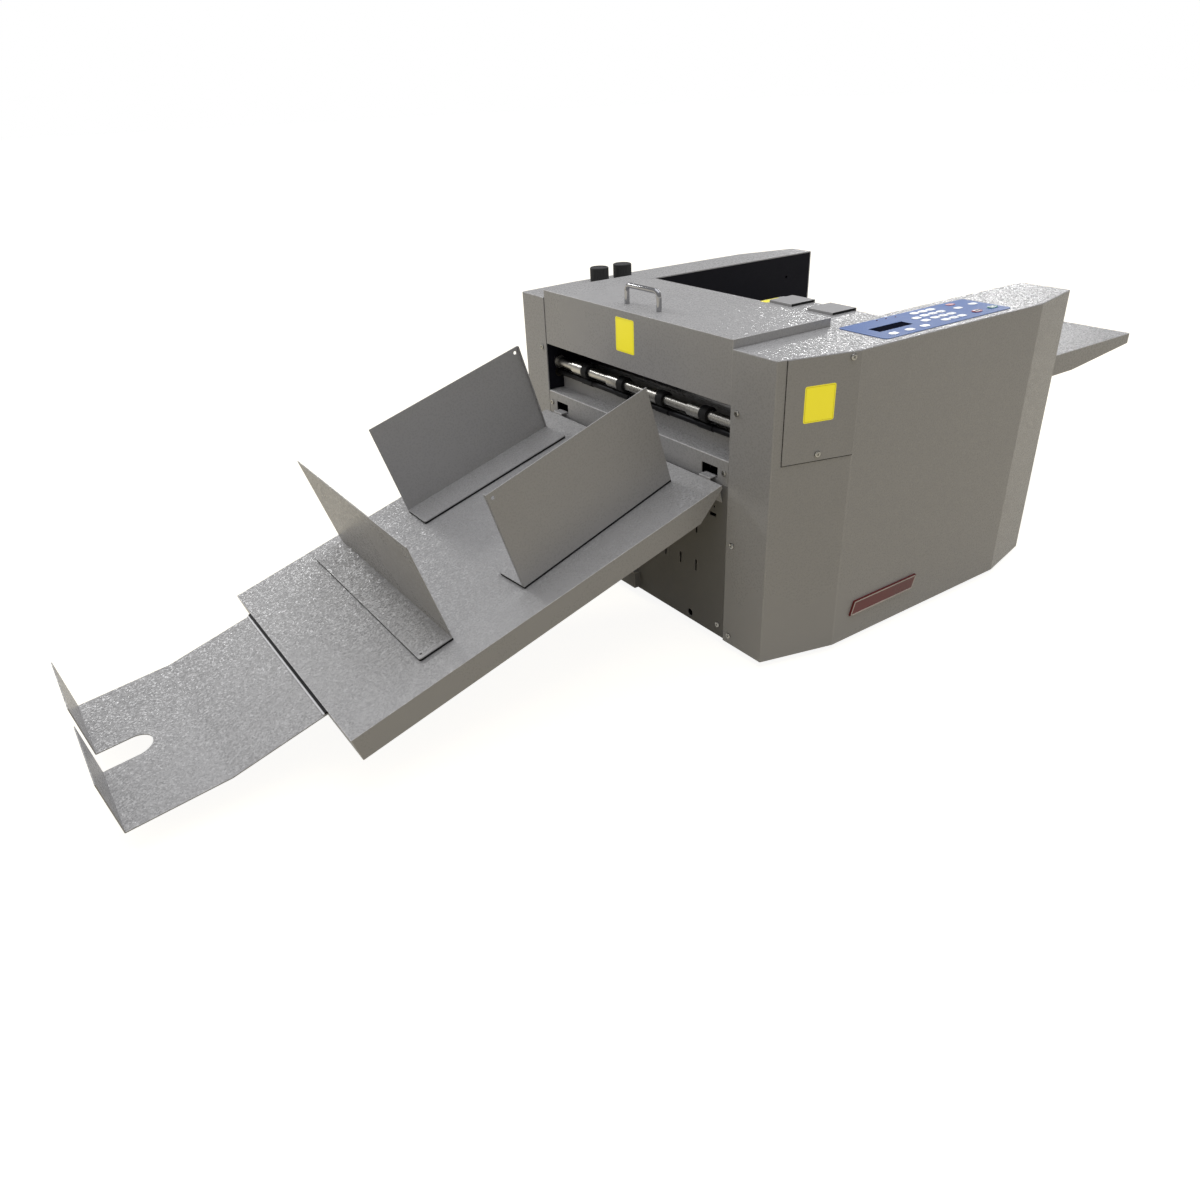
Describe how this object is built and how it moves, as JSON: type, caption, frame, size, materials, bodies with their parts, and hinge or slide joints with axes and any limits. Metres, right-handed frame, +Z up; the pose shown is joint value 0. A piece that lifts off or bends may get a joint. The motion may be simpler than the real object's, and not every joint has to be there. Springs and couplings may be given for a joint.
{
  "type": "paper creasing machine",
  "caption": "Desktop creasing machine with a rear feed table, lidded roller outlet, keypad on one side cover and a sloping delivery tray with sheet guides.",
  "frame": {"origin": "middle of the whole footprint, on the desk under the rubber feet", "axes": "+Y from the delivery side towards the feed table, +Z up, +X towards the side with the keypad"},
  "size_m": [0.7221, 2.119, 0.547],
  "materials": {
    "grey_paint": "fine textured powder coat",
    "black_paint": "satin",
    "steel": "turned and ground",
    "dark_steel": "blackened",
    "chrome": "polished",
    "bronze": "sintered, oiled",
    "rubber": "matt",
    "black_plastic": "fine grain",
    "film": "printed membrane, satin",
    "window": "clear over dark glass",
    "green_key": "satin",
    "red_key": "satin",
    "board": "resin board",
    "motor_black": "satin",
    "supply_case": "folded sheet"
  },
  "bodies": {
    "machine": {"base_plate": "black_paint", "rubber_feet": "rubber", "left_frame": "black_paint", "right_frame": "black_paint", "tie_rods": "steel", "front_panel": "grey_paint", "delivery_ledge": "grey_paint", "left_cover": "grey_paint", "right_cover": "grey_paint", "access_cover": "grey_paint", "rear_panel": "grey_paint", "rear_deck": "grey_paint", "cover_screws": "steel", "key_film": "film", "display_window": "window", "control_board": "board", "power_supply": "supply_case", "power_inlet": "black_plastic", "drive_motors": "motor_black", "drive_belt": "rubber", "shaft_bushes": "bronze", "sheet_guides": "steel", "crease_anvil": "steel", "hood_hinges": "steel", "feed_belts": "rubber", "separator_pad": "rubber", "guide_rods": "steel"},
    "hood": {"hood": "grey_paint", "hood_handle": "chrome"},
    "delivery_shaft": {"delivery_shaft": "steel", "delivery_rings": "rubber"},
    "lower_delivery_shaft": {"lower_delivery_shaft": "dark_steel"},
    "register_shaft": {"register_shaft": "steel"},
    "lower_register_shaft": {"lower_register_shaft": "dark_steel"},
    "feed_drive_shaft": {"feed_drive_shaft": "steel"},
    "feed_idler_shaft": {"feed_idler_shaft": "steel"},
    "eccentric_shaft": {"eccentric_shaft": "steel"},
    "crease_beam": {"crease_beam": "steel", "crease_blade": "steel"},
    "front_knob": {"front_knob": "black_plastic"},
    "rear_knob": {"rear_knob": "black_plastic"},
    "delivery_tray": {"delivery_tray": "grey_paint", "extension_rails": "grey_paint"},
    "tray_extension": {"tray_extension": "grey_paint"},
    "left_guide": {"left_guide": "grey_paint", "left_guide_magnet": "rubber"},
    "right_guide": {"right_guide": "grey_paint", "right_guide_magnet": "rubber"},
    "end_stop": {"end_stop": "grey_paint", "end_stop_magnet": "rubber"},
    "feed_table": {"feed_table": "grey_paint", "table_blocks": "dark_steel"},
    "lift_shaft": {"lift_shaft": "steel"},
    "left_feed_guide": {"left_feed_guide": "grey_paint"},
    "right_feed_guide": {"right_feed_guide": "grey_paint"},
    "left_deck_plate": {"left_deck_plate": "grey_paint"},
    "right_deck_plate": {"right_deck_plate": "grey_paint"},
    "start_key": {"start_key": "green_key"},
    "stop_key": {"stop_key": "red_key"},
    "power_switch": {"power_switch": "red_key"}
  },
  "joints": [
    {"name": "hood_hinge", "type": "hinge", "parent": "machine", "child": "hood", "pos_m": [-0.0195, 0.08046, 0.5033], "axis": [-1, 0, 0], "range_deg": [0, 75]},
    {"name": "delivery_spin", "type": "hinge", "parent": "machine", "child": "delivery_shaft", "pos_m": [-0.0195, -0.09954, 0.379], "axis": [1, 0, 0], "continuous": true},
    {"name": "lower_delivery_spin", "type": "hinge", "parent": "machine", "child": "lower_delivery_shaft", "pos_m": [-0.0195, -0.09954, 0.3597], "axis": [1, 0, 0], "continuous": true},
    {"name": "register_spin", "type": "hinge", "parent": "machine", "child": "register_shaft", "pos_m": [-0.0195, 0.05446, 0.379], "axis": [1, 0, 0], "continuous": true},
    {"name": "lower_register_spin", "type": "hinge", "parent": "machine", "child": "lower_register_shaft", "pos_m": [-0.0195, 0.05446, 0.3597], "axis": [1, 0, 0], "continuous": true},
    {"name": "feed_drive_spin", "type": "hinge", "parent": "machine", "child": "feed_drive_shaft", "pos_m": [-0.0195, 0.10646, 0.383], "axis": [1, 0, 0], "continuous": true},
    {"name": "feed_idler_spin", "type": "hinge", "parent": "machine", "child": "feed_idler_shaft", "pos_m": [-0.0195, 0.16446, 0.383], "axis": [1, 0, 0], "continuous": true},
    {"name": "eccentric_spin", "type": "hinge", "parent": "machine", "child": "eccentric_shaft", "pos_m": [-0.0195, -0.01554, 0.437], "axis": [1, 0, 0], "continuous": true},
    {"name": "crease_stroke", "type": "slide", "parent": "machine", "child": "crease_beam", "axis": [0, 0, -1], "range_m": [0, 0.005]},
    {"name": "front_knob_turn", "type": "hinge", "parent": "machine", "child": "front_knob", "pos_m": [-0.3255, 0.03646, 0.499], "axis": [0, 0, 1], "range_deg": [-160, 160]},
    {"name": "rear_knob_turn", "type": "hinge", "parent": "machine", "child": "rear_knob", "pos_m": [-0.3255, 0.09146, 0.499], "axis": [0, 0, 1], "range_deg": [-160, 160]},
    {"name": "tray_tilt", "type": "hinge", "parent": "machine", "child": "delivery_tray", "pos_m": [-0.0195, -0.12439, 0.29645], "axis": [-1, 0, 0], "range_deg": [0, 12]},
    {"name": "extension_slide", "type": "slide", "parent": "delivery_tray", "child": "tray_extension", "axis": [0, -0.9581, -0.2865], "range_m": [-0.13, 0.12]},
    {"name": "left_guide_slide", "type": "slide", "parent": "delivery_tray", "child": "left_guide", "axis": [1, 0, 0], "range_m": [-0.055, 0.11]},
    {"name": "right_guide_slide", "type": "slide", "parent": "delivery_tray", "child": "right_guide", "axis": [1, 0, 0], "range_m": [-0.09, 0.045]},
    {"name": "end_stop_slide", "type": "slide", "parent": "delivery_tray", "child": "end_stop", "axis": [0, -0.9581, -0.2865], "range_m": [-0.105, 0.13]},
    {"name": "table_lift", "type": "slide", "parent": "machine", "child": "feed_table", "axis": [0, 0, 1], "range_m": [0, 0.038]},
    {"name": "lift_spin", "type": "hinge", "parent": "machine", "child": "lift_shaft", "pos_m": [-0.0195, 0.30646, 0.232], "axis": [1, 0, 0], "range_deg": [-190, 1]},
    {"name": "left_feed_guide_slide", "type": "slide", "parent": "feed_table", "child": "left_feed_guide", "axis": [1, 0, 0], "range_m": [-0.009, 0.08]},
    {"name": "right_feed_guide_slide", "type": "slide", "parent": "feed_table", "child": "right_feed_guide", "axis": [1, 0, 0], "range_m": [-0.08, 0.009]},
    {"name": "left_deck_plate_slide", "type": "slide", "parent": "machine", "child": "left_deck_plate", "axis": [1, 0, 0], "range_m": [-0.015, 0.012]},
    {"name": "right_deck_plate_slide", "type": "slide", "parent": "machine", "child": "right_deck_plate", "axis": [1, 0, 0], "range_m": [-0.015, 0.03]},
    {"name": "start_press", "type": "slide", "parent": "machine", "child": "start_key", "axis": [0, 0, -1], "range_m": [0, 0.0005], "stiffness_N_per_m": 600},
    {"name": "stop_press", "type": "slide", "parent": "machine", "child": "stop_key", "axis": [0, 0, -1], "range_m": [0, 0.0005], "stiffness_N_per_m": 600},
    {"name": "switch_rock", "type": "hinge", "parent": "machine", "child": "power_switch", "pos_m": [-0.1585, 0.53196, 0.076], "axis": [-1, 0, 0], "range_deg": [0, 16]}
  ],
  "couplings": [
    {"joint": "lower_delivery_spin", "follows": "delivery_spin", "ratio": -2.1667},
    {"joint": "register_spin", "follows": "delivery_spin", "ratio": 1},
    {"joint": "lower_register_spin", "follows": "delivery_spin", "ratio": -1.7143},
    {"joint": "feed_idler_spin", "follows": "feed_drive_spin", "ratio": 1},
    {"joint": "lift_spin", "follows": "table_lift", "rad_per_m": -83.333}
  ]
}
